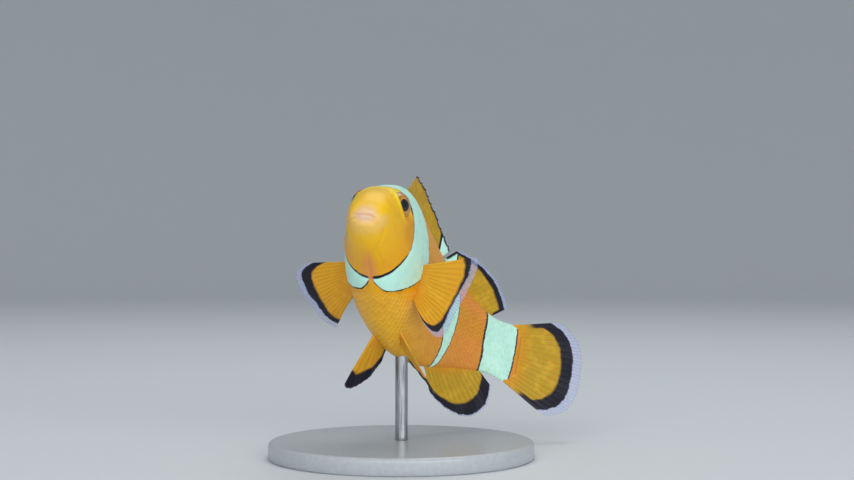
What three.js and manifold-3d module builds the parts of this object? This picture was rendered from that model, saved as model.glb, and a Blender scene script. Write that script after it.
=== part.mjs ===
// A clownfish at life size, swimming towards the viewer with its tail swept round, on a display stand.
// Units are millimetres, +Z is up, and the origin is the centre of the stand's underside.
//
// The fish is laid out straight first. A place on it is (along, out, up): along runs back from the
// snout, out goes to the fish's own left and up to its back. bend() then curls that straight fish
// along its backbone, and the fish group tips it nose up and turns it.
import * as THREE from 'three';
import { mergeVertices } from 'three/addons/utils/BufferGeometryUtils.js';
import Module from 'manifold-3d';

const wasm = await Module();
wasm.setup();

// ---- Driving dimensions ----
const standardLength = 65; // snout to the end of the tail stalk
const partGap = 0.3; // clear space kept between neighbouring solids
const finThickness = 0.6;

// The pose, in degrees.
const noseUp = 29.5;
const turnAside = 9.6; // the head's turn to the fish's right
const lean = 6; // the back's lean to the fish's left
const tailSweep = 61; // how far the tail fin's end has turned to the fish's left
const sweepStart = 0.2; // where the backbone starts and stops curling, in standard lengths
const sweepEnd = 1.15;

const snoutPlace = new THREE.Vector3(-5.4, -24.1, 47.6); // where the snout is over the stand

// ---- The straight body ----
// Stations down the body, all in standard lengths: the back's and the belly's height, half the width,
// the height of the widest line, and how full the upper and lower halves are (1 is an ellipse,
// less is boxier, more is leaner).
const stations = [
  { along: 0.000, back: -0.024, belly: -0.056, half: 0.020, widest: -0.040, crown: 0.95, keel: 0.95 },
  { along: 0.012, back: 0.012, belly: -0.074, half: 0.046, widest: -0.034, crown: 0.90, keel: 0.95 },
  { along: 0.045, back: 0.060, belly: -0.090, half: 0.064, widest: -0.018, crown: 0.84, keel: 0.92 },
  { along: 0.105, back: 0.109, belly: -0.108, half: 0.080, widest: 0.000, crown: 0.80, keel: 0.90 },
  { along: 0.180, back: 0.163, belly: -0.130, half: 0.097, widest: -0.004, crown: 0.90, keel: 0.90 },
  { along: 0.270, back: 0.205, belly: -0.162, half: 0.110, widest: -0.014, crown: 1.05, keel: 0.92 },
  { along: 0.400, back: 0.222, belly: -0.196, half: 0.109, widest: -0.020, crown: 1.15, keel: 1.00 },
  { along: 0.520, back: 0.214, belly: -0.206, half: 0.095, widest: -0.010, crown: 1.20, keel: 1.05 },
  { along: 0.660, back: 0.176, belly: -0.176, half: 0.071, widest: 0.000, crown: 1.20, keel: 1.15 },
  { along: 0.800, back: 0.122, belly: -0.122, half: 0.046, widest: 0.000, crown: 1.15, keel: 1.15 },
  { along: 0.900, back: 0.095, belly: -0.095, half: 0.030, widest: 0.000, crown: 1.10, keel: 1.10 },
  { along: 1.000, back: 0.104, belly: -0.104, half: 0.016, widest: 0.000, crown: 1.05, keel: 1.05 },
];
const bodySides = 32; // facets round the body

// A smooth curve through one measure of the stations, by cubic Hermite pieces.
function measure(name, along) {
  const at = THREE.MathUtils.clamp(along, 0, 1);
  let k = 0;
  while (k < stations.length - 2 && at > stations[k + 1].along) k++;
  const slope = (i) => {
    const before = stations[Math.max(i - 1, 0)];
    const after = stations[Math.min(i + 1, stations.length - 1)];
    return (after[name] - before[name]) / (after.along - before.along);
  };
  const span = stations[k + 1].along - stations[k].along;
  const t = (at - stations[k].along) / span;
  const rise = stations[k + 1][name] - stations[k][name];
  const startPull = slope(k) * span - rise;
  const endPull = rise - slope(k + 1) * span;
  return stations[k][name] + rise * t + t * (1 - t) * (startPull * (1 - t) + endPull * t);
}

// A point of the straight body's surface, grown outwards by extra.
function onBody(along, angle, extra = 0) {
  const size = standardLength;
  const middle = measure('widest', along) * size;
  const above = Math.sin(angle) >= 0;
  const reach = above
    ? measure('back', along) * size - middle + extra
    : middle - measure('belly', along) * size + extra;
  const fullness = measure(above ? 'crown' : 'keel', along);
  const side = Math.sign(Math.cos(angle)) * Math.abs(Math.cos(angle)) ** fullness;
  return [
    along * size,
    (measure('half', along) * size + extra) * side,
    middle + reach * Math.sin(angle),
  ];
}

// ---- The bent backbone ----
const backboneStep = 0.25;
const backboneLength = standardLength * 1.4;

function headingAt(along) {
  const t = (along / standardLength - sweepStart) / (sweepEnd - sweepStart);
  return THREE.MathUtils.degToRad(tailSweep) * THREE.MathUtils.smoothstep(t, 0, 1);
}

const backbone = [new THREE.Vector2(0, 0)];
for (let along = 0; along < backboneLength; along += backboneStep) {
  const heading = headingAt(along + backboneStep / 2);
  const last = backbone[backbone.length - 1];
  const next = new THREE.Vector2(Math.sin(heading), Math.cos(heading)).multiplyScalar(backboneStep);
  backbone.push(next.add(last));
}

// Where a place on the straight fish goes once the backbone is bent, with the snout at the origin.
function bend([along, out, up]) {
  const at = THREE.MathUtils.clamp(along, 0, backboneLength - backboneStep) / backboneStep;
  const k = Math.floor(at);
  const spot = backbone[k].clone().lerp(backbone[k + 1], at - k);
  const heading = headingAt(along);
  const ahead = Math.min(along, 0); // a little in front of the snout stays straight ahead
  return new THREE.Vector3(
    spot.x + out * Math.cos(heading),
    spot.y - out * Math.sin(heading) + ahead,
    up,
  );
}

// ---- Closed meshes from rings and grids ----
function closedMesh(points, triangles) {
  const geometry = new THREE.BufferGeometry();
  const numbers = points.flatMap((p) => [p.x, p.y, p.z]);
  geometry.setAttribute('position', new THREE.Float32BufferAttribute(numbers, 3));
  geometry.setIndex(triangles);
  return geometry;
}

// A body of rings, each the same number of points, closed by a fan at both ends.
function loft(rings) {
  const sides = rings[0].length;
  const points = rings.flat();
  const triangles = [];
  for (let r = 0; r + 1 < rings.length; r++) {
    for (let k = 0; k < sides; k++) {
      const a = r * sides + k;
      const b = r * sides + ((k + 1) % sides);
      triangles.push(a, a + sides, b, b, a + sides, b + sides);
    }
  }
  for (const last of [false, true]) {
    const ring = last ? rings.at(-1) : rings[0];
    const start = last ? (rings.length - 1) * sides : 0;
    const centre = ring.reduce((sum, p) => sum.add(p), new THREE.Vector3()).divideScalar(sides);
    points.push(centre);
    for (let k = 0; k < sides; k++) {
      const a = start + k;
      const b = start + ((k + 1) % sides);
      triangles.push(...(last ? [b, a] : [a, b]), points.length - 1);
    }
  }
  return closedMesh(points, triangles);
}

function bodyRing(along, extra) {
  const ring = [];
  for (let k = 0; k < bodySides; k++) {
    ring.push(bend(onBody(along, (k / bodySides) * 2 * Math.PI, extra)));
  }
  return ring;
}

// The length of body from one place to another, with its ends cut square across.
function bodyLength(from, to, steps, extra = 0) {
  const rings = [];
  for (let k = 0; k <= steps; k++) {
    const share = k / steps;
    const eased = from === 0 ? share ** 1.6 : share; // closer together round the blunt snout
    rings.push(bodyRing(from + (to - from) * eased, extra));
  }
  return loft(rings);
}

// A plate that follows point(u, v), u from one edge to the other and v from root to tip.
function plate(point, thickness, columns, rows) {
  const near = 1e-3;
  const sheets = [1, -1].map((side) => {
    const sheet = [];
    for (let j = 0; j <= rows; j++) {
      for (let i = 0; i <= columns; i++) {
        const u = i / columns;
        const v = j / rows;
        const across = point(Math.min(u + near, 1), v).sub(point(Math.max(u - near, 0), v));
        const outward = point(u, Math.min(v + near, 1)).sub(point(u, Math.max(v - near, 0)));
        const normal = across.cross(outward).normalize();
        sheet.push(point(u, v).addScaledVector(normal, (side * thickness) / 2));
      }
    }
    return sheet;
  });
  const count = (columns + 1) * (rows + 1);
  const triangles = [];
  const quad = (a, b, c, d) => triangles.push(a, b, c, a, c, d);
  for (let j = 0; j < rows; j++) {
    for (let i = 0; i < columns; i++) {
      const a = j * (columns + 1) + i;
      quad(a, a + 1, a + columns + 2, a + columns + 1);
      quad(count + a, count + a + columns + 1, count + a + columns + 2, count + a + 1);
    }
  }
  const rim = [];
  for (let i = 0; i < columns; i++) rim.push(i);
  for (let j = 0; j < rows; j++) rim.push(j * (columns + 1) + columns);
  for (let i = columns; i > 0; i--) rim.push(rows * (columns + 1) + i);
  for (let j = rows; j > 0; j--) rim.push(j * (columns + 1));
  rim.forEach((a, k) => {
    const b = rim[(k + 1) % rim.length];
    quad(b, a, count + a, count + b);
  });
  return closedMesh(sheets.flat(), triangles);
}

// ---- Joining and cutting ----
function solidOf(geometry) {
  const bare = geometry.clone();
  bare.deleteAttribute('normal');
  bare.deleteAttribute('uv');
  const merged = mergeVertices(bare, 1e-4);
  return new wasm.Manifold(
    new wasm.Mesh({
      numProp: 3,
      vertProperties: new Float32Array(merged.attributes.position.array),
      triVerts: new Uint32Array(merged.index.array),
    }),
  );
}

function geometryOf(solid) {
  const mesh = solid.getMesh();
  const geometry = new THREE.BufferGeometry();
  geometry.setAttribute('position', new THREE.Float32BufferAttribute(mesh.vertProperties, 3));
  geometry.setIndex(new THREE.Uint32BufferAttribute(mesh.triVerts, 1));
  geometry.computeVertexNormals();
  return geometry;
}

// ---- Fins ----
// Each fin is rays fanned from a root line. In a fan, u picks the ray and v goes out along it.
const deg = THREE.MathUtils.degToRad;
const mix = THREE.MathUtils.lerp;
const rounded = (u, power) => (1 - Math.abs(2 * u - 1) ** power) ** (1 / power);

// The back fin and the belly fin stand in the fish's middle plane, rooted a little inside the body.
function uprightFin({ from, to, side, lean: [leanFirst, leanLast], height, columns, rows }) {
  const edge = side > 0 ? 'back' : 'belly';
  const rootDepth = 0.03;
  const point = (u, v) => {
    const along = mix(from, to, u);
    const tilt = deg(mix(leanFirst, leanLast, u));
    const length = (height(u) + rootDepth) * standardLength * v;
    const root = (measure(edge, along) - side * rootDepth) * standardLength;
    return bend([
      along * standardLength + length * Math.sin(tilt),
      0,
      root + side * length * Math.cos(tilt),
    ]);
  };
  return plate(point, finThickness, columns, rows);
}

const finGeometry = {
  dorsal_fin_front: uprightFin({
    from: 0.31, to: 0.62, side: 1, lean: [32, 40], columns: 12, rows: 5,
    height: (u) => 0.176 * rounded(mix(0.14, 0.75, u), 3) * (1 - 0.64 * u),
  }),
  dorsal_fin_rear: uprightFin({
    from: 0.628, to: 0.86, side: 1, lean: [42, 46], columns: 10, rows: 5,
    height: (u) => 0.07 + 0.07 * Math.sin(Math.PI * mix(0.12, 0.98, u)),
  }),
  anal_fin: uprightFin({
    from: 0.65, to: 0.85, side: -1, lean: [35, 56], columns: 10, rows: 5,
    height: (u) => 0.035 + 0.125 * Math.sin(Math.PI * mix(0.12, 0.93, u)),
  }),
};

// The tail fin fans from the end of the stalk.
function tailFin() {
  const length = 0.22 * standardLength;
  const rootDepth = 0.04 * standardLength;
  const spread = 23;
  const point = (u, v) => {
    const across = 2 * u - 1;
    const tilt = deg(spread * across);
    const reach = (length * (1 - 0.4 * Math.abs(across) ** 3) + rootDepth) * v;
    return bend([
      standardLength - rootDepth + reach * Math.cos(tilt),
      0,
      across * 0.095 * standardLength + reach * Math.sin(tilt),
    ]);
  };
  return plate(point, finThickness, 14, 8);
}
finGeometry.tail_fin = tailFin();

// A paired fin: its root runs from one place on the flank to another, and its first, middle and last
// rays point along three directions, with the rays between them blended.
function pairedFin({ root, rays, length, columns, rows }) {
  const [first, last] = root.map((place) => new THREE.Vector3(...place).multiplyScalar(standardLength));
  const [a, b, c] = rays.map((ray) => new THREE.Vector3(...ray).normalize());
  const point = (u, v) => {
    const ray = a.clone().multiplyScalar((1 - u) * (1 - 2 * u));
    ray.addScaledVector(b, 4 * u * (1 - u)).addScaledVector(c, u * (2 * u - 1)).normalize();
    const spot = first.clone().lerp(last, u).addScaledVector(ray, length(u) * standardLength * v);
    return bend(spot.toArray());
  };
  return plate(point, finThickness, columns, rows);
}

// The length of a pectoral fin's rays, with a hollow edge, and corners that upper and lower round off.
const pectoralLength = ({ first, last, hollow, upper, lower }) => (u) => {
  const corners = 0.012 * Math.abs(2 * u - 1) ** 8 + upper * (1 - u) ** 10 + lower * u ** 16;
  return mix(first, last, u) - hollow * Math.sin(Math.PI * u) - corners;
};
finGeometry.pectoral_fin_left = pairedFin({
  root: [[0.315, 0.085, -0.02], [0.345, 0.075, -0.09]],
  rays: [[-0.3, 0.95, 0.09], [-0.1, 0.85, -0.5], [0, 0.53, -0.84]],
  length: pectoralLength({ first: 0.208, last: 0.21, hollow: 0.032, upper: 0, lower: 0.09 }),
  columns: 14, rows: 6,
});
finGeometry.pectoral_fin_right = pairedFin({
  root: [[0.305, -0.085, -0.025], [0.34, -0.075, -0.095]],
  rays: [[0.2, -0.98, 0.02], [0.44, -0.87, -0.22], [0.75, -0.61, -0.28]],
  length: pectoralLength({ first: 0.238, last: 0.19, hollow: 0.014, upper: 0.06, lower: 0 }),
  columns: 14, rows: 6,
});
const pelvicLength = (u) => 0.235 * (1 - 0.6 * u) * rounded(mix(0.08, 0.9, u), 5);
finGeometry.pelvic_fin_left = pairedFin({
  root: [[0.42, 0.045, -0.175], [0.46, 0.026, -0.18]],
  rays: [[0.6, 0.43, -0.68], [0.75, 0.35, -0.6], [0.85, 0.2, -0.5]],
  length: pelvicLength, columns: 8, rows: 6,
});
finGeometry.pelvic_fin_right = pairedFin({
  root: [[0.42, -0.026, -0.175], [0.46, -0.012, -0.18]],
  rays: [[0.35, -0.53, -0.78], [0.7, -0.42, -0.5], [0.92, -0.38, -0.15]],
  length: (u) => pelvicLength(u) - 0.02, columns: 8, rows: 6,
});

// ---- Eyes ----
const eyeRadius = 0.04 * standardLength;
const eyeFlatness = 0.74; // the ball's depth, as a share of its width
const eyePlace = [0.125, 0.053, 0.061]; // the ball's centre, in standard lengths

function eyeBall(side, extra) {
  const [along, out, up] = eyePlace.map((x) => x * standardLength);
  const ball = new THREE.SphereGeometry(eyeRadius + extra, 18, 12);
  ball.scale(eyeFlatness, 1, 1);
  ball.rotateZ(deg(-14 * side));
  const centre = bend([along, out * side, up]);
  ball.translate(centre.x, centre.y, centre.z);
  return solidOf(ball);
}

// ---- Gill covers and lower jaw: outlines in the along-up plane, cut through the straight head ----
function prism(outline, outFrom, outTo) {
  const rings = [outFrom, outTo].map((out) => outline.map(([along, up]) => bend([along, out, up])));
  return solidOf(loft(outFrom < outTo ? rings : rings.reverse()));
}

// A D-shaped cover: its front edge nearly straight, its free rear edge a half oval.
function gillOutline(shrink) {
  const size = standardLength;
  const outline = [];
  const arcSteps = 14;
  for (let k = 0; k <= arcSteps; k++) {
    const angle = Math.PI / 2 - (k / arcSteps) * Math.PI;
    outline.push([
      0.215 * size + (0.095 * size - shrink) * Math.cos(angle),
      -0.02 * size + (0.105 * size - shrink) * Math.sin(angle),
    ]);
  }
  outline.push([0.175 * size + shrink, -0.08 * size], [0.17 * size + shrink, 0.03 * size]);
  return outline;
}

// ---- The body, parted ----
const cuts = { headEnd: 0.27, trunkMiddle: 0.42, stalkStart: 0.8 };
const half = partGap / 2 / standardLength;
const wholeGrown = solidOf(bodyLength(0, 1, 40, partGap));

const flesh = {
  head: solidOf(bodyLength(0, cuts.headEnd - half, 14)),
  trunk_front: solidOf(bodyLength(cuts.headEnd + half, cuts.trunkMiddle - half, 5)),
  trunk_rear: solidOf(bodyLength(cuts.trunkMiddle + half, cuts.stalkStart - half, 11)),
  tail_stalk: solidOf(bodyLength(cuts.stalkStart + half, 1, 6)),
};

const coverDepth = 0.06 * standardLength; // how far out from the middle plane a gill cover starts
const beyond = 0.2 * standardLength;
const neck = solidOf(bodyLength(0.12, 0.36, 12));
for (const [name, side] of [['left', 1], ['right', -1]]) {
  const room = prism(gillOutline(0), side * coverDepth, side * beyond);
  const cover = prism(gillOutline(partGap), side * (coverDepth + partGap), side * beyond);
  flesh[`gill_cover_${name}`] = neck.intersect(cover);
  flesh.head = flesh.head.subtract(room).subtract(eyeBall(side, partGap));
  flesh.trunk_front = flesh.trunk_front.subtract(room);
  flesh[`eye_${name}`] = eyeBall(side, 0);
}

// The mouth runs back and down from the snout's tip.
function jawOutline(lower) {
  const size = standardLength;
  return [
    [-0.02 * size, -0.036 * size - lower],
    [0.066 * size - lower, -0.062 * size - lower],
    [0.08 * size - lower, -0.2 * size],
    [-0.02 * size, -0.2 * size],
  ];
}
const snout = solidOf(bodyLength(0, 0.15, 10));
flesh.lower_jaw = snout.intersect(prism(jawOutline(partGap / 2), -beyond, beyond));
flesh.head = flesh.head.subtract(prism(jawOutline(-partGap / 2), -beyond, beyond));

// ---- The fish's place over the stand ----
const fish = new THREE.Group();
fish.rotation.set(deg(-noseUp), deg(lean), deg(-turnAside), 'ZXY');
fish.position.copy(snoutPlace);
fish.updateMatrixWorld(true);

// ---- The stand: a bevelled disc and an upright rod that ends in a blind hole in the belly ----
const baseRadius = 25;
const baseThickness = 3.2;
const baseBevel = 0.8;
const rodRadius = 1.2;
const rodFoot = 1.3; // the rod's lower end, in a recess of the base
const rodTop = 22.5;
const rodSides = 32;

function turned(profile, sides) {
  const lathe = new THREE.LatheGeometry(profile.map(([out, up]) => new THREE.Vector2(out, up)), sides);
  return solidOf(lathe.rotateX(Math.PI / 2));
}

const standBase = turned(
  [
    [0, 0],
    [baseRadius, 0],
    [baseRadius, baseThickness - baseBevel],
    [baseRadius - baseBevel, baseThickness],
    [0, baseThickness],
  ],
  64,
);
const rod = (extra) =>
  turned(
    [
      [0, rodFoot - extra],
      [rodRadius + extra, rodFoot - extra],
      [rodRadius + extra, rodTop + extra],
      [0, rodTop + extra],
    ],
    rodSides,
  );
const rodRoom = rod(partGap);
const rodRoomInFish = solidOf(geometryOf(rodRoom).applyMatrix4(fish.matrixWorld.clone().invert()));
flesh.trunk_rear = flesh.trunk_rear.subtract(rodRoomInFish);

// ---- The part ----
function add(group, name, solid, colour, roughness, metalness = 0) {
  const mesh = new THREE.Mesh(
    geometryOf(solid),
    new THREE.MeshStandardMaterial({ color: colour, roughness, metalness }),
  );
  mesh.name = name;
  group.add(mesh);
}

const orange = 0xe99a1c;
const pale = 0xc9e8de;
const black = 0x101018;
for (const [name, solid] of Object.entries(flesh)) {
  const colour = name.startsWith('eye') ? black : name.startsWith('gill') ? pale : orange;
  add(fish, name, solid, colour, 0.45);
}
for (const [name, geometry] of Object.entries(finGeometry)) {
  add(fish, name, solidOf(geometry).subtract(wholeGrown), orange, 0.5);
}

const part = new THREE.Group();
part.add(fish);
add(part, 'stand_base', standBase.subtract(rodRoom), 0xe4e6e8, 0.2);
add(part, 'stand_rod', rod(0), 0xb9bdc2, 0.25, 1);

export default part;
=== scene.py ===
import math
import random

import bmesh
import bpy
from mathutils import Matrix, Vector, noise


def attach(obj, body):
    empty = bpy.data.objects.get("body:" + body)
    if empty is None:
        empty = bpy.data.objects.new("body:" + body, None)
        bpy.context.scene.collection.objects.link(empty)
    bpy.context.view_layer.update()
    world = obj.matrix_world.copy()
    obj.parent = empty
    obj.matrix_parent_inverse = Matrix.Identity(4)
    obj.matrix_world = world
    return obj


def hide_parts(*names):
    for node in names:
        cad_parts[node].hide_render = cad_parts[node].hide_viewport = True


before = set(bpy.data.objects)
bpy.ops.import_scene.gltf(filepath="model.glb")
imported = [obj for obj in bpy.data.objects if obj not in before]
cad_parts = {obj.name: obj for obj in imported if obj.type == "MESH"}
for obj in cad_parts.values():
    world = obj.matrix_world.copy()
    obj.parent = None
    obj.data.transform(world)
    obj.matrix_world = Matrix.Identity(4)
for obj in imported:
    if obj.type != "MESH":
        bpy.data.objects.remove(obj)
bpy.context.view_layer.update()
print("frame loaded")

mm = 0.001
random.seed(11)

# The fish is laid out straight, as the solids are: along runs back from the snout, out goes to its own
# left and up to its back, all in standard lengths. pose() curls it and sets it on the stand.
fish = {
    "standardLength": 65 * mm,  # snout to the end of the tail stalk
    "noseUp": 29.5,  # degrees, like the next three
    "turnAside": 9.6,
    "lean": 6,
    "tailSweep": 61,
    "sweepStart": 0.2,  # where the backbone starts and stops curling
    "sweepEnd": 1.15,
    "snout": (-5.4 * mm, -24.1 * mm, 47.6 * mm),
    "skinDepth": 0.2 * mm,  # how far the skin lies inside the outline, so that the scales reach it
}
measures = ("along", "back", "belly", "half", "widest", "crown", "keel")
stations = [
    dict(zip(measures, row))
    for row in (
        (0.000, -0.024, -0.056, 0.020, -0.040, 0.95, 0.95),
        (0.012, 0.012, -0.074, 0.046, -0.034, 0.90, 0.95),
        (0.045, 0.060, -0.090, 0.064, -0.018, 0.84, 0.92),
        (0.105, 0.109, -0.108, 0.080, 0.000, 0.80, 0.90),
        (0.180, 0.163, -0.130, 0.097, -0.004, 0.90, 0.90),
        (0.270, 0.205, -0.162, 0.110, -0.014, 1.05, 0.92),
        (0.400, 0.222, -0.196, 0.109, -0.020, 1.15, 1.00),
        (0.520, 0.214, -0.206, 0.095, -0.010, 1.20, 1.05),
        (0.660, 0.176, -0.176, 0.071, 0.000, 1.20, 1.15),
        (0.800, 0.122, -0.122, 0.046, 0.000, 1.15, 1.15),
        (0.900, 0.095, -0.095, 0.030, 0.000, 1.10, 1.10),
        (1.000, 0.104, -0.104, 0.016, 0.000, 1.05, 1.05),
    )
]
size = fish["standardLength"]
sizeMm = size / mm


def mix(a, b, share):
    return a + (b - a) * share


def smooth(start, end, x):  # 0 before start, 1 after end, and start may be the larger
    share = min(max((x - start) / (end - start), 0), 1)
    return share * share * (3 - 2 * share)


def hill(x, middle, width):  # a rounded bump, 1 at its middle
    return math.exp(-(((x - middle) / width) ** 2))


def measure(name, along):
    k = 0
    while k < len(stations) - 2 and along > stations[k + 1]["along"]:
        k += 1

    def slope(i):
        before, after = stations[max(i - 1, 0)], stations[min(i + 1, len(stations) - 1)]
        return (after[name] - before[name]) / (after["along"] - before["along"])

    span = stations[k + 1]["along"] - stations[k]["along"]
    t = (along - stations[k]["along"]) / span
    rise = stations[k + 1][name] - stations[k][name]
    startPull, endPull = slope(k) * span - rise, rise - slope(k + 1) * span
    return stations[k][name] + rise * t + t * (1 - t) * (startPull * (1 - t) + endPull * t)


shapeSteps = 1000
shapeTable = {
    name: [measure(name, k / shapeSteps) for k in range(shapeSteps + 1)] for name in measures[1:]
}


def shapeAt(name, along):
    at = min(max(along, 0), 1) * shapeSteps
    k = min(int(at), shapeSteps - 1)
    row = shapeTable[name]
    return row[k] + (row[k + 1] - row[k]) * (at - k)


def bodyPoint(along, angle, lift=0):  # a point of the straight body in metres, grown out by lift
    middle = shapeAt("widest", along) * size
    rise, side = math.sin(angle), math.cos(angle)
    above = rise >= 0
    reach = shapeAt("back", along) * size - middle if above else middle - shapeAt("belly", along) * size
    fullness = shapeAt("crown" if above else "keel", along)
    out = math.copysign(abs(side) ** fullness, side) * (shapeAt("half", along) * size + lift)
    return along * size, out, middle + (reach + lift) * rise


def aroundOf(angle):  # 0 at the belly's midline and 1 at the back's, on either side
    return abs((angle + math.pi * 1.5) % (2 * math.pi) - math.pi) / math.pi


boneStep = 0.25 * mm
boneLength = 1.4 * size  # past the tail fin's tip


def headingAt(x):
    share = smooth(fish["sweepStart"], fish["sweepEnd"], x / size)
    return math.radians(fish["tailSweep"]) * share


backbone = [(0.0, 0.0)]
while len(backbone) * boneStep < boneLength:
    heading = headingAt((len(backbone) - 0.5) * boneStep)
    x, y = backbone[-1]
    backbone.append((x + math.sin(heading) * boneStep, y + math.cos(heading) * boneStep))

stance = (
    Matrix.Translation(fish["snout"])
    @ Matrix.Rotation(-math.radians(fish["turnAside"]), 4, "Z")
    @ Matrix.Rotation(-math.radians(fish["noseUp"]), 4, "X")
    @ Matrix.Rotation(math.radians(fish["lean"]), 4, "Y")
)


def pose(point):  # from the straight fish, in metres, to its place on the stand
    along, out, up = point
    at = max(along, 0) / boneStep
    k = min(int(at), len(backbone) - 2)
    (x, y), (nextX, nextY) = backbone[k], backbone[k + 1]
    share = at - k
    heading = headingAt(along)
    return stance @ Vector((
        mix(x, nextX, share) + out * math.cos(heading),
        mix(y, nextY, share) - out * math.sin(heading) + min(along, 0),
        up,
    ))


def curveAt(points, x):  # straight runs through a few points
    if x <= points[0][0]:
        return points[0][1]
    for (x0, y0), (x1, y1) in zip(points, points[1:]):
        if x <= x1:
            return mix(y0, y1, (x - x0) / (x1 - x0))
    return points[-1][1]


# The white bars: where each starts and ends along the fish, going round from the belly (0) to the back (1).
# "line" is the width of the black outline in front of it; the outline behind it is thinner.
bars = {
    "head": {
        "front": [
            (0, 0.196), (0.25, 0.19), (0.5, 0.193), (0.6, 0.18), (0.66, 0.168), (0.76, 0.155),
            (0.88, 0.136), (1, 0.122),
        ],
        "rear": [
            (0, 0.19), (0.02, 0.203), (0.08, 0.232), (0.16, 0.249), (0.26, 0.27), (0.36, 0.3), (0.46, 0.333),
            (0.54, 0.352), (0.62, 0.348), (0.74, 0.312), (0.86, 0.27), (1, 0.238),
        ],
        "line": [
            (0, 0.010), (0.3, 0.010), (0.42, 0.006), (0.58, 0.008), (0.72, 0.007), (0.85, 0.003), (1, 0.002),
        ],
    },
    "middle": {
        "front": [
            (0, 0.678), (0.2, 0.674), (0.34, 0.655), (0.44, 0.6), (0.52, 0.565), (0.6, 0.57),
            (0.72, 0.6), (1, 0.612),
        ],
        "rear": [(0, 0.695), (0.2, 0.7), (0.5, 0.704), (0.75, 0.696), (1, 0.668)],
        "line": [(0, 0.005), (0.5, 0.006), (1, 0.008)],
    },
    "tail": {
        "front": [(0, 0.872), (0.3, 0.862), (0.5, 0.852), (0.7, 0.858), (1, 0.866)],
        "rear": [(0, 0.971), (0.5, 0.979), (1, 0.975)],
        "line": [(0, 0.007), (0.5, 0.008), (1, 0.007)],
    },
}
gillEdge = [(around, along + 0.005) for around, along in bars["head"]["rear"]]

eye = {
    "place": (0.125, 0.053, 0.061),  # the ball's centre, along, out and up
    "radius": 0.0395,
    "flatness": 0.74,
    "turn": 14,  # degrees that the flattened ball turns forward
    "look": (-0.4, 0.91, -0.14),  # the way the pupil faces: along, out and up
    "pupil": 26,  # degrees from that way to the pupil's edge, and to the iris's outer edge
    "iris": 80,
}
mouth = {"height": -0.041, "droop": 0.003, "halfWidth": 0.026}


def headRelief(along, around, out, up):  # how far the head's skin stands out or in, in mm
    relief = 0
    outMm, fromEye = abs(out) * sizeMm, math.hypot(along - eye["place"][0], up - eye["place"][2]) * sizeMm
    if along < 0.1:  # lips with a slit between them, and a fold round each
        line = mouth["height"] - mouth["droop"] * (out / mouth["halfWidth"]) ** 2
        above = (up - line) * sizeMm
        strength = smooth(1.35, 0.8, abs(out) / mouth["halfWidth"]) * smooth(0.06, 0.03, along)
        lips = 0.13 * hill(above, 0.42, 0.3) + 0.14 * hill(above, -0.42, 0.3)
        folds = 0.1 * hill(above, 1.1, 0.3) + 0.08 * hill(above, -1.05, 0.3)
        relief += strength * (lips - folds - 0.3 * hill(above, 0, 0.14))
    if around > 0.45 and along < 0.25:  # the orbit: a bowl for the eye with a raised rim, proudest in front
        infront = smooth(0.02, -0.03, along - eye["place"][0])
        relief += -0.4 * smooth(2.5, 1.8, fromEye) + (0.1 + 0.16 * infront) * hill(fromEye, 2.8, 0.45)
    for nostril in ((0.062, 0.052), (0.08, 0.07)):
        away = math.hypot(along - nostril[0], up - nostril[1]) * sizeMm
        if outMm > 1.2:
            relief += 0.08 * hill(away, 0.36, 0.14) - 0.25 * hill(away, 0, 0.2)
    if around < 0.62 and along < 0.25:  # the cheek's rear edge, where the head bar starts
        fromCheek = (along - curveAt(bars["head"]["front"], around)) * sizeMm
        relief += 0.1 * smooth(0.1, -0.5, fromCheek) * smooth(-3, -1, fromCheek)
        relief -= 0.16 * hill(fromCheek, 0.1, 0.22) * smooth(0.62, 0.45, around)
    if around < 0.2:  # the groove under the chin and the folds beside it
        middle = smooth(0.05, 0.09, along) * smooth(0.24, 0.19, along)
        relief -= 0.2 * hill(outMm, 0, 0.3) * middle * smooth(0.08, 0.17, along)
        relief -= 0.07 * middle * hill(outMm, 1.6 + 8 * (along - 0.06), 0.22)
    if 0.03 < along < 0.16:  # the upper jaw's line, back and down from the corner of the mouth
        jaw = mouth["height"] - 0.012 - (along - 0.035) * 0.8
        length = smooth(0.025, 0.05, along) * smooth(0.085, 0.07, along)
        relief -= 0.12 * hill((up - jaw) * sizeMm, 0, 0.2) * length
    return relief


def skinRelief(along, around, out, up):  # in mm, over the whole fish
    relief = headRelief(along, around, out, up) if along < 0.26 else 0
    edge = curveAt(gillEdge, around)
    if abs(along - edge) < 0.12:  # the gill cover's free edge, with a step down behind it
        behind = (along - edge) * sizeMm
        step = smooth(-0.1, 0.12, behind) * math.exp(-max(behind, 0) / 2.2)
        relief -= 0.34 * step * smooth(0.72, 0.6, around) * smooth(0.0, 0.06, around)
    relief += 0.03 * noise.noise(Vector((along, out, up)) * 30)
    return relief


def newObject(name, bm):
    mesh = bpy.data.meshes.new(name)
    bm.to_mesh(mesh)
    bm.free()
    for polygon in mesh.polygons:
        polygon.use_smooth = True
    piece = bpy.data.objects.new(name, mesh)
    bpy.context.scene.collection.objects.link(piece)
    return piece


def finish(piece, slot, material, *nodes):
    piece.data.materials.append(material)
    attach(piece, "root")
    if nodes:
        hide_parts(*nodes)
    return piece


# Materials


def hexColour(text):  # an sRGB hex value as linear numbers
    parts = [int(text[k:k + 2], 16) / 255 for k in (1, 3, 5)]
    return [p / 12.92 if p <= 0.04045 else ((p + 0.055) / 1.055) ** 2.4 for p in parts] + [1]


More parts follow.
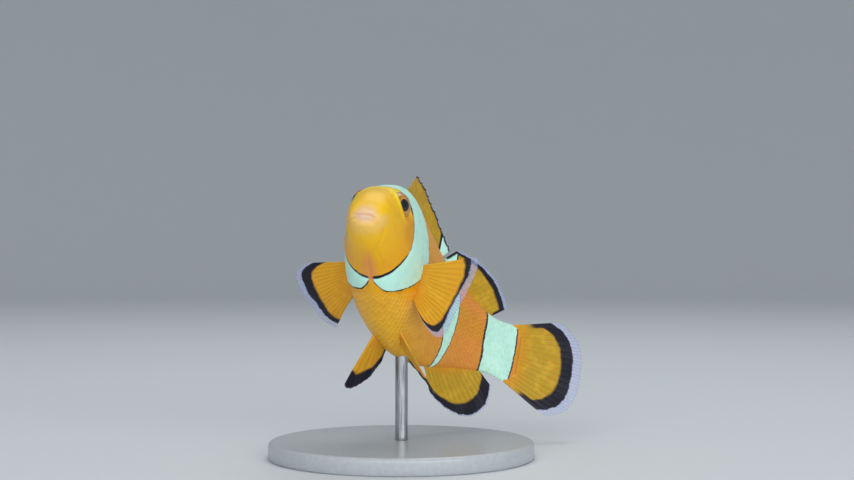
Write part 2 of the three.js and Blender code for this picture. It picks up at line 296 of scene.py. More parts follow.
def addNode(tree, kind, links=(), output=0, points=(), **settings):
    # a node with its settings, its curve's points, then its values and links; what comes back is its output
    node = tree.nodes.new("ShaderNode" + kind)
    for name, value in settings.items():
        setattr(node, name, value)
    for socket, value in links.items() if isinstance(links, dict) else enumerate(links):
        if isinstance(value, bpy.types.NodeSocket):
            tree.links.new(value, node.inputs[socket])
        else:
            node.inputs[socket].default_value = hexColour(value) if isinstance(value, str) else value
    for number, point in enumerate(points):
        curve = node.mapping.curves[0].points
        if number < 2:
            curve[number].location = point
        else:
            curve.new(*point)
        node.mapping.update()
    return node.outputs[output]


def newMaterial(name, **values):  # gives the material, its tree and its shader
    material = bpy.data.materials.new(name)
    material.use_nodes = True
    shader = material.node_tree.nodes["Principled BSDF"]
    for socket, value in values.items():
        shader.inputs[socket.replace("_", " ")].default_value = value
    return material, material.node_tree, shader


def paintOver(tree, under, paint, value, start, end, most=1.0, blend="MIX"):
    # lays one colour over another, fading in as value goes from start to end
    share = addNode(tree, "MapRange", (value, start, end, 0.0, most), interpolation_type="SMOOTHSTEP")
    return addNode(tree, "Mix", {0: share, 6: under, 7: paint}, output=2, data_type="RGBA", blend_type=blend)


def overlap(tree, value, start, end, mask=1.0):  # a soft mask within another mask
    share = addNode(tree, "MapRange", (value, start, end), interpolation_type="SMOOTHSTEP")
    return addNode(tree, "Math", (share, mask), operation="MULTIPLY")


def mottle(tree, grain, detail=3.0, roughness=0.5):  # a cloudy pattern with spots about grain metres wide
    place = addNode(tree, "TexCoord", output="Object")
    links = {"Vector": place, "Scale": 0.6 / grain, "Detail": detail, "Roughness": roughness}
    return addNode(tree, "TexNoise", links)


def placeOn(tree, attribute):  # the three numbers kept on each point of the piece
    place = addNode(tree, "Attribute", output="Vector", attribute_name=attribute)
    return addNode(tree, "SeparateXYZ", (place,), output=slice(3))


colours = {
    "crown": "#EABA0A",
    "cheek": "#E6A40E",
    "face": "#EFB90A",
    # a darker orange painted shade behind and below the eye
    "underEyeShade": "#D28E12",
    # a bright yellow painted highlight on the orbit's rim
    "browHighlight": "#F4DA1C",
    "flank": "#E59A14",
    "rear": "#DC8A26",
    "belly": "#EBB016",
    # snout: a pale pinkish painted highlight on the snout
    "snout": "#DDBB7E",
    # a lilac painted highlight over the lips and the snout's tip
    "lipSheen": "#DCC3DA",
    "throat": "#DD8D50",
    "freckle": "#CC7F12",
    "bar": "#C4F6E6",
    "barShade": "#A9E2D8",
    "black": "#0A0A1E",
    # a pale painted highlight for the scales' raised free edges
    "scaleEdgeHighlight": "#FFE9B8",
    "scaleShade": "#D8CBB8",
    "finRoot": "#DA901A",
    "fin": "#D89E16",
    "middleFin": "#B49318",
    "finRay": "#BC7A14",
    "finPale": "#EBBB34",
    "finClear": "#A9B4E0",
}


def barMasks(tree, along, around, bar):  # where a bar is white, and where its black outline runs
    white = black = 1.0
    line = addNode(tree, "FloatCurve", {1: around}, points=bar["line"])
    for edge, way, thin in (("front", 1.0, 1.0), ("rear", -1.0, 0.6)):
        place = addNode(tree, "FloatCurve", {1: around}, points=bar[edge])
        inside = addNode(tree, "Math", (along, place), operation="SUBTRACT")
        inside = addNode(tree, "Math", (inside, way), operation="MULTIPLY")
        outer = addNode(tree, "Math", (line, thin, inside), operation="MULTIPLY_ADD")
        white = overlap(tree, inside, -0.0015, 0.0015, white)
        black = overlap(tree, outer, -0.0015, 0.0015, black)
    return white, black


def fishColours(tree):  # the colours of the skin and the scales alike
    along, around, up = placeOn(tree, "bodyPlace")
    cheek = paintOver(tree, colours["cheek"], colours["face"], along, 0.17, 0.06)
    cheek = paintOver(tree, cheek, colours["crown"], around, 0.4, 0.8)
    flank = paintOver(tree, colours["belly"], colours["flank"], around, 0.1, 0.4)
    flank = paintOver(tree, flank, colours["rear"], along, 0.45, 0.8)
    colour = paintOver(tree, cheek, flank, along, 0.17, 0.36)
    # painted highlight: a pale pinkish patch on the snout's sides, in front of the cheeks
    snoutHighlightMask = overlap(tree, along, 0.06, 0.01, overlap(tree, around, 0.62, 0.42))
    colour = paintOver(tree, colour, colours["snout"], snoutHighlightMask, 0.0, 1.0, 0.5)
    # painted highlight: a lilac sheen over the lips and the very tip of the snout
    colour = paintOver(tree, colour, colours["lipSheen"], along, 0.012, 0.0, 0.42)
    # painted shade: a darker orange zone behind and below the eye, beside the head bar
    underEyeShadeMask = overlap(tree, around, 0.36, 0.5, overlap(tree, around, 0.66, 0.58))
    underEyeShadeMask = overlap(tree, along, 0.1, 0.16, underEyeShadeMask)
    colour = paintOver(tree, colour, colours["underEyeShade"], underEyeShadeMask, 0.0, 1.0, 0.7)
    # painted highlight: a bright yellow ring on the orbit's upper front rim, in front of the eye
    fromEye = addNode(tree, "CombineXYZ", (along, up, 0.0))
    links = (fromEye, (eye["place"][0], eye["place"][2], 0))
    fromEye = addNode(tree, "VectorMath", links, output="Value", operation="DISTANCE")
    browHighlight = overlap(tree, fromEye, 0.034, 0.039, overlap(tree, fromEye, 0.054, 0.046))
    browHighlight = overlap(tree, along, 0.125, 0.11, overlap(tree, around, 0.6, 0.7, browHighlight))
    colour = paintOver(tree, colour, colours["browHighlight"], browHighlight, 0.0, 1.0, 0.9)
    under = overlap(tree, around, 0.09, 0.02, overlap(tree, along, 0.22, 0.19))
    under = overlap(tree, along, 0.04, 0.16, under)
    colour = paintOver(tree, colour, colours["throat"], under, 0.0, 1.0, 0.7)
    colour = paintOver(tree, colour, colours["freckle"], mottle(tree, 1.4 * mm, 4, 0.6), 0.45, 0.8, 0.25)
    wander = addNode(tree, "Math", (mottle(tree, 0.8 * mm), 0.008, -0.004), operation="MULTIPLY_ADD")
    wandering = addNode(tree, "Math", (along, wander), operation="ADD")
    pale = paintOver(tree, colours["bar"], colours["barShade"], mottle(tree, 2.5 * mm), 0.3, 0.8, 0.45)
    for name, bar in bars.items():
        white, black = barMasks(tree, wandering, around, bar)
        if name == "head":  # its two sides don't quite meet under the throat
            white, black = (overlap(tree, around, 0.012, 0.022, mask) for mask in (white, black))
        colour = paintOver(tree, colour, colours["black"], black, 0.0, 1.0)
        colour = paintOver(tree, colour, pale, white, 0.0, 1.0)
    return colour


def skinMaterial():  # painted resin cast of fish skin: a soft, slightly moist gloss over fine pores
    material, tree, shader = newMaterial(
        "castFishSkin", Roughness=0.45, IOR=1.4, Coat_Weight=0.12, Coat_Roughness=0.25,
        Subsurface_Weight=0.1, Subsurface_Scale=0.6 * mm,
    )
    tree.links.new(fishColours(tree), shader.inputs["Base Color"])
    pores = mottle(tree, 0.25 * mm, 2)
    links = {"Height": pores, "Strength": 0.3, "Distance": 0.05 * mm}
    tree.links.new(addNode(tree, "Bump", links), shader.inputs["Normal"])
    return material


def scaleMaterial():  # the same resin and paint on raised scales, with a painted highlight along their free edges
    material, tree, shader = newMaterial(
        "castFishScale", Roughness=0.42, IOR=1.4, Coat_Weight=0.1, Coat_Roughness=0.22,
    )
    back, across, tone = placeOn(tree, "scalePlace")
    # painted highlight: paler colour along each scale's raised free edge
    colour = paintOver(tree, fishColours(tree), colours["scaleEdgeHighlight"], back, 0.18, 0.42, 0.2)
    colour = paintOver(tree, colour, colours["scaleShade"], tone, 0.2, 1.0, 0.22, "MULTIPLY")
    tree.links.new(colour, shader.inputs["Base Color"])
    return material


# The skin: a ball pulled out into the fish, with its poles at the snout and the tail


skin = {
    "sides": 240,
    "rings": 220,
    "snoutCap": 0.05,  # share of the rings on the snout's blunt tip
    "tailCap": 0.02,
    "crowding": 1.7,  # rings lie closer together towards the snout
    "snoutDepth": 0.12 * mm,  # how far the snout lies inside its solid, and the dome on it
    "snoutDome": 0.08 * mm,
    "end": 0.998,
    "tailThinning": 0.62,
}


def thinned(along):  # the tail stalk narrows to the thickness of the tail fin
    return 1 - skin["tailThinning"] * smooth(0.93, 1, along)


def buildSkin():
    bm = bmesh.new()
    bmesh.ops.create_uvsphere(bm, u_segments=skin["sides"], v_segments=skin["rings"], radius=1)
    placeLayer = bm.verts.layers.float_vector.new("bodyPlace")
    straight = []
    for vertex in bm.verts:
        share = math.acos(max(-1, min(1, vertex.co.z))) / math.pi
        angle = math.atan2(vertex.co.y, vertex.co.x)
        body = (share - skin["snoutCap"]) / (1 - skin["snoutCap"] - skin["tailCap"])
        along = skin["end"] * min(max(body, 0), 1) ** skin["crowding"]
        x, out, up = bodyPoint(along, angle, -fish["skinDepth"])
        middle = shapeAt("widest", along) * size
        closing = 1
        x += skin["snoutDepth"] * (1 - smooth(0, 0.02, along))
        if body < 0:
            closing = math.sin(share / skin["snoutCap"] * math.pi / 2)
            x -= skin["snoutDome"] * (1 - share / skin["snoutCap"])
        elif body > 1:
            closing = math.cos(min((body - 1) / skin["tailCap"] * 0.98, 1) * math.pi / 2)
        out, up = out * closing * thinned(along), middle + (up - middle) * closing
        straight.append((x / size, aroundOf(angle), out / size, up / size))
        vertex.co = pose((x, out, up))
        vertex[placeLayer] = (x / size, aroundOf(angle), up / size)
    bmesh.ops.recalc_face_normals(bm, faces=bm.faces)
    bm.normal_update()
    for vertex, place in zip(bm.verts, straight):
        vertex.co += vertex.normal * skinRelief(*place) * mm
    return newObject("skin", bm)


# The scales: a plate repeated by two arrays, then laid over the skin in staggered rows


scales = {
    "start": 0.2,
    "end": 0.985,
    "widthFront": 1.3 * mm,
    "widthRear": 0.85 * mm,
    "length": 1.6,  # times the width
    "overlap": 1.22,
    "lift": 0.09 * mm,  # the free edge's height over the skin
    "sunk": -0.05 * mm,
    "sides": 10,
    "patch": 0.0035,  # the size of a scale's place on the baked map
}


def scaleRoots():  # along, angle and width of each scale, row by row
    roots, steps = [], 120
    along, count, odd = scales["start"], 0, False
    while along < scales["end"]:
        width = mix(scales["widthFront"], scales["widthRear"], smooth(0.55, 0.95, along))
        width *= mix(0.8, 1, smooth(0.2, 0.34, along))
        samples = [bodyPoint(along, math.tau * k / steps - math.pi / 2)[1:] for k in range(steps + 1)]
        run = [0]
        for a, b in zip(samples, samples[1:]):
            run.append(run[-1] + math.dist(a, b))
        if abs(run[-1] / width - count) > 0.05 * count:
            count = round(run[-1] / width)
        k = 0
        for n in range(count):
            target = (n + 0.5 * odd) / count * run[-1]
            while run[k + 1] < target:
                k += 1
            share = (target - run[k]) / (run[k + 1] - run[k])
            roots.append((along, math.tau * (k + share) / steps - math.pi / 2, run[-1] / count))
        along += width / 2 / size
        odd = not odd
    return roots


def scaleBelongs(along, angle, width):  # none on the cheeks, the throat and the gill cover's edge
    around = aroundOf(angle)
    if along < curveAt(bars["head"]["front"], around) + 0.02 or (around < 0.05 and along < 0.24):
        return False
    return not (around < 0.7 and -0.012 < along - curveAt(gillEdge, around) < 0.008)


def plates(number):  # that many plates in rows a metre apart, as one bmesh
    bm = bmesh.new()
    bmesh.ops.create_circle(bm, cap_ends=True, segments=scales["sides"], radius=0.42)
    bmesh.ops.inset_region(bm, faces=bm.faces[:], thickness=0.1, use_even_offset=True)
    top = bmesh.ops.extrude_face_region(bm, geom=bm.faces[:], use_keep_orig=True)["geom"]
    bmesh.ops.translate(bm, verts=[g for g in top if isinstance(g, bmesh.types.BMVert)], vec=(0, 0, 0.1))
    for edge in bm.edges:
        edge.smooth = edge.calc_face_angle(0) < 0.5  # the rim stays crisp
    plate = newObject("plate", bm)
    rows = math.ceil(math.sqrt(number))
    for axis in (0, 1):
        array = plate.modifiers.new("rows", "ARRAY")
        array.count = rows
        array.use_relative_offset = False
        array.use_constant_offset = True
        array.constant_offset_displace = [float(k == axis) for k in range(3)]
    mesh = bpy.data.meshes.new_from_object(plate.evaluated_get(bpy.context.evaluated_depsgraph_get()))
    bpy.data.objects.remove(plate)
    bm = bmesh.new()
    bm.from_mesh(mesh)
    spare = [v for v in bm.verts if round(v.co.x) + round(v.co.y) * rows >= number]
    bmesh.ops.delete(bm, geom=spare, context="VERTS")
    return bm, rows


def buildScales(side, roots):
    bm, rows = plates(len(roots))
    placeLayer = bm.verts.layers.float_vector.new("bodyPlace")
    scaleLayer = bm.verts.layers.float_vector.new("scalePlace")
    tones = [random.random() for _ in roots]
    behindCheek = [along - curveAt(bars["head"]["front"], aroundOf(angle)) for along, angle, _ in roots]
    patch = []
    for vertex in bm.verts:
        row, column = round(vertex.co.x), round(vertex.co.y)
        number = row + column * rows
        along, angle, width = roots[number]
        back, across = vertex.co.x - row, vertex.co.y - column
        height = scales["sunk"]
        if vertex.co.z > 0.05:
            lift = mix(scales["sunk"] / 2, scales["lift"], smooth(0.01, 0.1, behindCheek[number]))
            height = mix(height, lift, smooth(-0.3, 0.32, back)) - 0.35 * across ** 2 * scales["lift"]
        at = along + back * width * scales["length"] / size
        near = [bodyPoint(along, angle + step)[1:] for step in (-0.01, 0.01)]
        turned = angle + across * width * scales["overlap"] * 0.02 / math.dist(*near)
        x, out, up = bodyPoint(at, turned, -fish["skinDepth"])
        relief = skinRelief(at, aroundOf(turned), out / size, up / size) * mm
        x, out, up = bodyPoint(at, turned, -fish["skinDepth"] + relief + height)
        vertex.co = pose((x, out * thinned(at), up))
        vertex[placeLayer] = (at, aroundOf(turned), up / size)
        vertex[scaleLayer] = (back, across, tones[number])
        patch.append((along + scales["patch"] * back, angle / math.tau + 0.5 + scales["patch"] * across))
    bm.verts.index_update()
    uv = bm.loops.layers.uv.new("OFBake")
    for face in bm.faces:
        for loop in face.loops:
            loop[uv].uv = patch[loop.vert.index]
    bmesh.ops.recalc_face_normals(bm, faces=bm.faces)
    return newObject(f"scales_{side}", bm)


# The fins


def uprightRay(fin):  # a fin in the middle plane, from the back or the belly
    def point(u, v):
        along = mix(*fin["span"], u)
        tilt = math.radians(mix(*fin["tilt"], u))
        length = (fin["height"](u) + fin["rootDepth"]) * size * v
        root = (shapeAt(fin["edge"], along) - fin["side"] * fin["rootDepth"]) * size
        return (along * size + length * math.sin(tilt), 0, root + fin["side"] * length * math.cos(tilt))
    return point


def tailRay(fin):
    def point(u, v):
        across = 2 * u - 1
        tilt = math.radians(fin["spread"] * across)
        reach = (fin["length"] * (1 - 0.4 * abs(across) ** 3) + fin["rootDepth"]) * size * v
        start = size * (1 - fin["rootDepth"])
        return (start + reach * math.cos(tilt), 0, across * fin["root"] * size + reach * math.sin(tilt))
    return point


def pairedRay(fin):  # its root line and the ways of its first, middle and last rays
    first, last = (Vector(p) * size for p in fin["root"])
    a, b, c = (Vector(p).normalized() for p in fin["ways"])

    def point(u, v):
        ray = a * (1 - u) * (1 - 2 * u) + b * 4 * u * (1 - u) + c * u * (2 * u - 1)
        return tuple(first.lerp(last, u) + ray.normalized() * fin["length"](u) * size * v)
    return point


def rounded(u, power):
    return (1 - abs(2 * u - 1) ** power) ** (1 / power)


def pectoralLength(first, last, hollow, upper, lower):  # upper and lower round off the fin's corners
    def length(u):
        corners = 0.012 * abs(2 * u - 1) ** 8 + upper * (1 - u) ** 10 + lower * u ** 16
        return mix(first, last, u) - hollow * math.sin(math.pi * u) - corners
    return length


def pelvicLength(u):
    return 0.235 * (1 - 0.6 * u) * rounded(mix(0.08, 0.9, u), 5)


# A fin's black margin starts this far in from the rays' tips, in units of 6 mm and from the first ray to
# the last. The outermost "clear" mm of it are a clear rim, and sideBlack is the mm of black on its sides.
fins = {
    "dorsal_fin_front": {
        "ray": uprightRay, "edge": "back", "side": 1,
        "span": (0.31, 0.62), "tilt": (32, 40), "rootDepth": 0.03,
        "height": lambda u: 0.176 * rounded(mix(0.14, 0.75, u), 3) * (1 - 0.64 * u),
        "rays": 10, "branched": False, "black": [(0, 0.12), (1, 0.14)], "clear": 0.1,
    },
    "dorsal_fin_rear": {
        "ray": uprightRay, "edge": "back", "side": 1,
        "span": (0.628, 0.86), "tilt": (42, 46), "rootDepth": 0.03,
        "height": lambda u: 0.07 + 0.07 * math.sin(math.pi * mix(0.12, 0.98, u)),
        "rays": 15, "branched": True, "black": [(0, 0.28), (0.5, 0.37), (1, 0.4)],
        "clear": 0.8, "sideBlack": 0.6,
    },
    "anal_fin": {
        "ray": uprightRay, "edge": "belly", "side": -1,
        "span": (0.65, 0.85), "tilt": (35, 56), "rootDepth": 0.03,
        "height": lambda u: 0.035 + 0.125 * math.sin(math.pi * mix(0.12, 0.93, u)),
        "rays": 13, "branched": True, "black": [(0, 0.24), (0.35, 0.46), (1, 0.55)], "clear": 0.35,
    },
    "tail_fin": {
        "ray": tailRay, "length": 0.22, "spread": 23, "root": 0.095, "rootDepth": 0.04,
        "rays": 17, "branched": True, "black": [(0, 0.95), (0.15, 0.87), (0.5, 0.8), (0.85, 0.87), (1, 0.95)],
        "clear": 2, "sideBlack": 1,
    },
    "pectoral_fin_left": {
        "ray": pairedRay, "root": ((0.315, 0.085, -0.02), (0.345, 0.075, -0.09)),
        "ways": ((-0.3, 0.95, 0.09), (-0.1, 0.85, -0.5), (0, 0.53, -0.84)),
        "length": pectoralLength(0.208, 0.21, 0.032, 0, 0.09),
        "rays": 16, "branched": True, "clear": 1.35,
        "black": [(0, 0.48), (0.2, 0.36), (0.5, 0.3), (0.72, 0.38), (0.9, 0.52), (1, 0.5)],
    },
    "pectoral_fin_right": {
        "ray": pairedRay, "root": ((0.305, -0.085, -0.025), (0.34, -0.075, -0.095)),
        "ways": ((0.2, -0.98, 0.02), (0.44, -0.87, -0.22), (0.75, -0.61, -0.28)),
        "length": pectoralLength(0.238, 0.19, 0.014, 0.06, 0),
        "rays": 16, "branched": True, "black": [(0, 0.72), (0.3, 0.6), (0.7, 0.46), (1, 0.42)], "clear": 1.35,
    },
    "pelvic_fin_left": {
        "ray": pairedRay, "root": ((0.42, 0.045, -0.175), (0.46, 0.026, -0.18)),
        "ways": ((0.6, 0.43, -0.68), (0.75, 0.35, -0.6), (0.85, 0.2, -0.5)), "length": pelvicLength,
        "rays": 6, "branched": True, "black": [(0, 0.6), (0.25, 0.5), (0.5, 0.36), (1, 0.3)], "clear": 0.05,
    },
    "pelvic_fin_right": {
        "ray": pairedRay, "root": ((0.42, -0.026, -0.175), (0.46, -0.012, -0.18)),
        "ways": ((0.35, -0.53, -0.78), (0.7, -0.42, -0.5), (0.92, -0.38, -0.15)),
        "length": lambda u: pelvicLength(u) - 0.02,
        "rays": 6, "branched": True, "black": [(0, 0.6), (0.25, 0.5), (0.5, 0.36), (1, 0.3)], "clear": 0.05,
    },
}
finShape = {
    "perRay": 10,  # columns of faces to a ray
    "rows": 34,
    "membrane": 0.06 * mm,  # half the thickness between rays
    "rayRoot": 0.2 * mm,  # half a ray's thickness at its root and tip
    "rayTip": 0.075 * mm,
    "sheath": 0.27 * mm,  # the fleshy base
    "ripple": 0.09 * mm,
}


def rayRidge(fin, u, v):  # 1 on a ray's crest, 0 on the membrane
    across = u * fin["rays"] % 1 - 0.5
    fork = 0.23 * smooth(0.42, 1.0, v) if fin["branched"] else 0
    width = mix(0.17, 0.1, v)
    return max(hill(across, fork, width), hill(across, -fork, width))


def finSection(fin, point, u, v):
    # a place on the fin: its middle, the half thickness there and what the paint needs
    near = 0.004
    ridge = rayRidge(fin, u, v)
    nick = (0.012 if fin["branched"] else 0.045) * (1 - ridge) * smooth(0.7, 1, v)
    reach = v * (0.985 - nick)
    across = pose(point(min(u + near, 1), reach)) - pose(point(max(u - near, 0), reach))
    outward = pose(point(u, min(reach + near, 1))) - pose(point(u, max(reach - near, 0)))
    normal = across.cross(outward).normalized()
    thick = mix(finShape["membrane"], mix(finShape["rayRoot"], finShape["rayTip"], v), ridge)
    thick = mix(finShape["sheath"], thick, smooth(0.12, 0.4, v))
    thick *= mix(0.4, 1, min(min(u, 1 - u) * fin["rays"] * 3, 1)) * mix(0.45, 1, smooth(1, 0.93, v))
    ripple = finShape["ripple"] * math.sin(u * 19 + v * 3) * smooth(0.3, 1, v)
    fromTip = (1 - v) * math.dist(point(u, 1), point(u, 0)) / mm
    fromSide = min(u, 1 - u) * math.dist(point(1, v), point(0, v)) / mm
    straight = point(u, reach)
    middle = pose(straight) + normal * ripple
    return middle, normal * thick, straight, (u, v, fromTip), (ridge, fromSide, 0)


def buildFin(name, fin):
    point = fin["ray"](fin)
    bm = bmesh.new()
    columns = fin["rays"] * finShape["perRay"]
    bmesh.ops.create_grid(bm, x_segments=columns, y_segments=finShape["rows"], size=0.5)
    bmesh.ops.translate(bm, verts=bm.verts, vec=(0.5, 0.5, -1))
    raised = bmesh.ops.extrude_face_region(bm, geom=bm.faces[:], use_keep_orig=True)["geom"]
    bmesh.ops.translate(bm, verts=[g for g in raised if isinstance(g, bmesh.types.BMVert)], vec=(0, 0, 2))
    layers = [bm.verts.layers.float_vector.new(layer) for layer in ("bodyPlace", "finPlace", "finRay")]
    sections = {}
    for vertex in bm.verts:
        u, v = (min(max(c, 0), 1) for c in vertex.co[:2])
        key = (round(u, 5), round(v, 5))
        if key not in sections:
            sections[key] = finSection(fin, point, u, v)
        middle, thickness, straight, place, ray = sections[key]
        vertex.co = middle + thickness * vertex.co.z
        onBody = (straight[0] / size, 0.5, straight[2] / size)
        for layer, value in zip(layers, (onBody, place, ray)):
            vertex[layer] = value
    bmesh.ops.recalc_face_normals(bm, faces=bm.faces)
    return newObject(name, bm)


def finMaterial(name, fin):  # tinted resin cast thin over rays: orange, a black margin, then a clear rim
    material, tree, shader = newMaterial(
        name, Roughness=0.5, IOR=1.4, Coat_Weight=0.05, Coat_Roughness=0.25,
        Subsurface_Weight=0.15, Subsurface_Scale=0.8 * mm,
    )
    u, v, fromTip = placeOn(tree, "finPlace")
    ridge, fromSide = placeOn(tree, "finRay")[:2]
    tint = colours["fin" if fin["ray"] is pairedRay else "middleFin"]
    colour = paintOver(tree, colours["finRoot"], tint, v, 0.0, 0.4)
    colour = paintOver(tree, colour, colours["finRay"], ridge, 0.1, 1.0, 0.4)
    colour = paintOver(tree, colour, colours["finPale"], mottle(tree, 1.2 * mm, 4), 0.45, 0.75, 0.35)
    if name.startswith("dorsal"):  # the middle bar runs straight up onto the fin
        along, around = placeOn(tree, "bodyPlace")[:2]
        upward = {"front": 0.628, "rear": 0.71, "line": 0.01}
        upward = {edge: [(0, value), (1, value)] for edge, value in upward.items()}
        white, black = barMasks(tree, along, around, upward)
        colour = paintOver(tree, colour, colours["black"], black, 0.0, 1.0)
        colour = paintOver(tree, colour, colours["bar"], white, 0.0, 1.0)
    wander = addNode(tree, "Math", (mottle(tree, 0.9 * mm), 0.8, -0.4), operation="MULTIPLY_ADD")
    fromTip = addNode(tree, "Math", (fromTip, wander), operation="ADD")
    margin = addNode(tree, "FloatCurve", {1: u}, points=fin["black"])
    inside = addNode(tree, "Math", (margin, -6.0, fromTip), operation="MULTIPLY_ADD")
    colour = paintOver(tree, colour, colours["black"], inside, 0.35, -0.35)
    if "sideBlack" in fin:
        side = overlap(tree, v, 0.25, 0.5)
        side = overlap(tree, fromSide, fin["sideBlack"] + 0.3, fin["sideBlack"] - 0.3, side)
        colour = paintOver(tree, colour, colours["black"], side, 0.0, 1.0)
    clear = overlap(tree, fromTip, fin["clear"] + 0.2, fin["clear"] - 0.2)
    colour = paintOver(tree, colour, colours["finClear"], clear, 0.0, 1.0)
    tree.links.new(colour, shader.inputs["Base Color"])
    veil = addNode(tree, "MapRange", (ridge, 0.1, 0.9, -0.76, -0.68))  # the rim is clearest between rays
    solid = addNode(tree, "Math", (clear, veil, 1.0), operation="MULTIPLY_ADD")
    tree.links.new(solid, shader.inputs["Alpha"])
    return material


# The eyes


def buildEye(name, side):
    bm = bmesh.new()
    bmesh.ops.create_uvsphere(bm, u_segments=64, v_segments=48, radius=1)
    eyeLayer = bm.verts.layers.float_vector.new("eyePlace")
    for vertex in bm.verts:
        vertex[eyeLayer] = (math.degrees(math.acos(max(-1, min(1, vertex.co.z)))), 0, 0)
    along, out, up = eye["look"]
    aimed = Vector((out * side, along, up)).to_track_quat("Z", "Y").to_matrix().to_4x4()
    radius = eye["radius"] * size
    turned = Matrix.Rotation(-math.radians(eye["turn"] * side), 4, "Z")
    flattened = Matrix.Diagonal((radius * eye["flatness"], radius, radius, 1))
    centre = [p * size for p in eye["place"]]
    place = Matrix.Translation(pose((centre[0], centre[1] * side, centre[2])))
    matrix = place @ stance.to_3x3().to_4x4() @ turned @ flattened @ aimed
    bmesh.ops.transform(bm, matrix=matrix, verts=bm.verts)
    bmesh.ops.recalc_face_normals(bm, faces=bm.faces)
    return newObject(name, bm)


def eyeMaterial():  # glass eye: clear and hard, with a black pupil and a coppery iris behind it
    material, tree, shader = newMaterial(
        "glassEye", Roughness=0.25, IOR=1.5, Coat_Weight=0.6, Coat_Roughness=0.03, Coat_IOR=1.5,
    )
    away = placeOn(tree, "eyePlace")[0]  # degrees from the pupil's middle
    iris = paintOver(tree, "#9C681C", "#C28728", mottle(tree, 0.3 * mm), 0.35, 0.65)
    iris = paintOver(tree, iris, "#8A4F18", away, eye["iris"] - 35, eye["iris"], 0.7)
    colour = paintOver(tree, "#B98C34", iris, away, eye["pupil"] + 2, eye["pupil"] + 7)
    colour = paintOver(tree, "#05060F", colour, away, eye["pupil"] - 1, eye["pupil"] + 1)
    # a pale lavender ring round the iris's edge: partly the iris's thin pale outer ring, partly a painted
    # highlight of the cornea's rim
    colour = paintOver(tree, colour, "#C3BDD6", away, eye["iris"] - 3, eye["iris"] + 4)
    tree.links.new(colour, shader.inputs["Base Color"])
    return material


# The stand


stand = {
    "baseRadius": 24.95 * mm,
    "baseThickness": 3.2 * mm,
    "bevel": 0.8 * mm,
    "rodRadius": 1.19 * mm,
    "rodFoot": 1.3 * mm,
    "rodTop": 22.5 * mm,
}


def turnedPiece(name, profile, sides):  # a profile in the XZ plane, spun round Z
    bm = bmesh.new()
    points = [bm.verts.new((out, 0, up)) for out, up in profile]
    edges = [bm.edges.new(pair) for pair in zip(points, points[1:])]
    bmesh.ops.spin(
        bm, geom=points + edges, cent=(0, 0, 0), axis=(0, 0, 1), angle=math.tau, steps=sides, use_merge=True
    )
    bmesh.ops.remove_doubles(bm, verts=bm.verts, dist=0.001 * mm)
    bmesh.ops.recalc_face_normals(bm, faces=bm.faces)
    return newObject(name, bm)


def buildBase():
    r, t, b = stand["baseRadius"], stand["baseThickness"], stand["bevel"]
    turns = [math.radians(90 - 10 * k) for k in range(10)]
    arc = [(r - b + b * math.sin(a), t - b + b * math.cos(a)) for a in turns]
    inner = [(r - b - k * 2 * mm, t) for k in range(1, 12)]
    foot = [(0, 0), (r - 0.3 * mm, 0), (r, 0.3 * mm)]
    return turnedPiece("stand_base_disc", foot + arc + inner + [(0, t)], 160)


def buildRod():
    r, low, top = stand["rodRadius"], stand["rodFoot"], stand["rodTop"]
    rings = [(r, mix(low, top, k / 8)) for k in range(9)]
    return turnedPiece("stand_rod_pin", [(0, low)] + rings + [(0, top)], 48)


def acrylicMaterial():  # frosted cast acrylic: an even satin grey with a fine blasted grain
    material, tree, shader = newMaterial("frostedAcrylic", Roughness=0.32, IOR=1.49, Coat_Weight=0.1)
    colour = paintOver(tree, "#AEB3B8", "#B5BABF", mottle(tree, 0.5 * mm, 4), 0.3, 0.7)
    tree.links.new(colour, shader.inputs["Base Color"])
    links = {"Height": mottle(tree, 0.12 * mm, 2), "Strength": 0.15, "Distance": 0.02 * mm}
    tree.links.new(addNode(tree, "Bump", links), shader.inputs["Normal"])
    return material


def steelMaterial():  # drawn stainless rod: fine lines along its length, about 0.1 mm wide and 4 mm long
    material, tree, shader = newMaterial("drawnSteel", Metallic=1.0)
    place = addNode(tree, "TexCoord", output="Object")
    stretched = addNode(tree, "Mapping", {"Vector": place, "Scale": (9000, 9000, 260)})
    lines = addNode(tree, "TexNoise", {"Vector": stretched, "Scale": 1.0, "Detail": 2})
    tree.links.new(paintOver(tree, "#8E9296", "#B9BDC0", lines, 0.3, 0.7), shader.inputs["Base Color"])
    tree.links.new(addNode(tree, "MapRange", (lines, 0.3, 0.7, 0.24, 0.38)), shader.inputs["Roughness"])
    return material


# The camera, the floor and the lights


view = {"height": 40.8 * mm, "across": 4.8 * mm, "distance": 294.1 * mm, "width": 30.52}  # width in degrees


def setCamera():
    data = bpy.data.cameras.new("camera")
    data.sensor_width = 36
    data.lens = 18 / math.tan(math.radians(view["width"] / 2))
    data.clip_start = 0.01
    camera = bpy.data.objects.new("camera", data)
    camera.location = (view["across"], -view["distance"], view["height"])
    camera.rotation_euler = (math.radians(90), 0, 0)
    bpy.context.scene.collection.objects.link(camera)
    bpy.context.scene.camera = camera


stage = {"flat": 0.8, "bend": 0.5, "top": 0.75, "colour": "#D3D8DC"}  # a wide bowl of paper, in metres


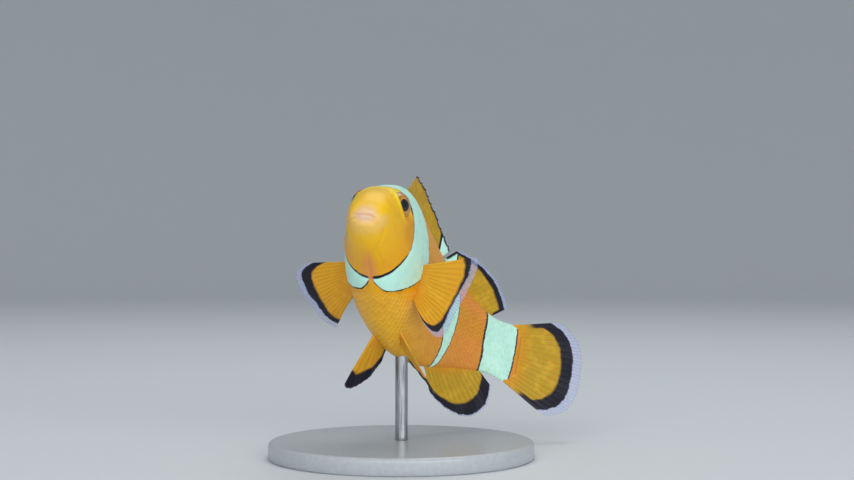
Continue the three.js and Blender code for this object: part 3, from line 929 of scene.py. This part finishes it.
def buildStage():
    turns = [math.radians(7.5 * k) for k in range(1, 13)]
    flat, bend = stage["flat"], stage["bend"]
    profile = [(0, 0), (0.1, 0), (flat, 0)]
    profile += [(flat + bend * math.sin(a), bend * (1 - math.cos(a))) for a in turns]
    profile.append((flat + bend, stage["top"]))
    floor = turnedPiece("floor", [(out, up - 0.02 * mm) for out, up in profile], 128)
    material, tree, shader = newMaterial("palePaper", Roughness=0.9)
    shader.inputs["Base Color"].default_value = hexColour(stage["colour"])
    floor.data.materials.append(material)


lights = {  # place, size, power in watts
    "key": ((-0.15, -0.6, 0.28), 0.6, 2.0),
    "fill": ((0.3, -0.5, 0.07), 0.5, 2.4),
    "top": ((0.05, 0.2, 0.6), 0.4, 1.2),
}
lightsAim = Vector((0, 0, 0.035))  # the middle of the fish


def setLights():
    for name, (place, wide, power) in lights.items():
        data = bpy.data.lights.new(name, "AREA")
        data.size = wide
        data.energy = power
        lamp = bpy.data.objects.new(name, data)
        lamp.location = place
        lamp.rotation_euler = (lightsAim - Vector(place)).to_track_quat("-Z", "Y").to_euler()
        bpy.context.scene.collection.objects.link(lamp)
    world = bpy.data.worlds.new("studio")
    world.use_nodes = True
    world.node_tree.nodes["Background"].inputs["Color"].default_value = hexColour("#E6EBEE")
    world.node_tree.nodes["Background"].inputs["Strength"].default_value = 0.45
    bpy.context.scene.world = world
    bpy.context.scene.view_settings.view_transform = "Standard"


setCamera()
buildStage()
setLights()
print("camera, floor and lights set")

flesh = (
    "head", "lower_jaw", "gill_cover_left", "gill_cover_right", "trunk_front", "trunk_rear", "tail_stalk"
)
finish(buildSkin(), "skin", skinMaterial(), *flesh)
print("skin made")

roots = [root for root in scaleRoots() if scaleBelongs(*root)]
scaleFinish = scaleMaterial()
for side, way in (("left", 1), ("right", -1)):
    sideRoots = [root for root in roots if math.copysign(1, math.cos(root[1])) == way]
    finish(buildScales(side, sideRoots), "skin", scaleFinish)
    print(f"{len(sideRoots)} scales on the {side}")

for name, fin in fins.items():
    finish(buildFin(name + "_web", fin), "fin", finMaterial(name + "Web", fin), name)
print("fins made")

eyeFinish = eyeMaterial()
for name, side in (("left", 1), ("right", -1)):
    finish(buildEye("eyeball_" + name, side), "eye", eyeFinish, "eye_" + name)
print("eyes made")

finish(buildBase(), "stand_base", acrylicMaterial(), "stand_base")
finish(buildRod(), "stand_rod", steelMaterial(), "stand_rod")
print("stand made")
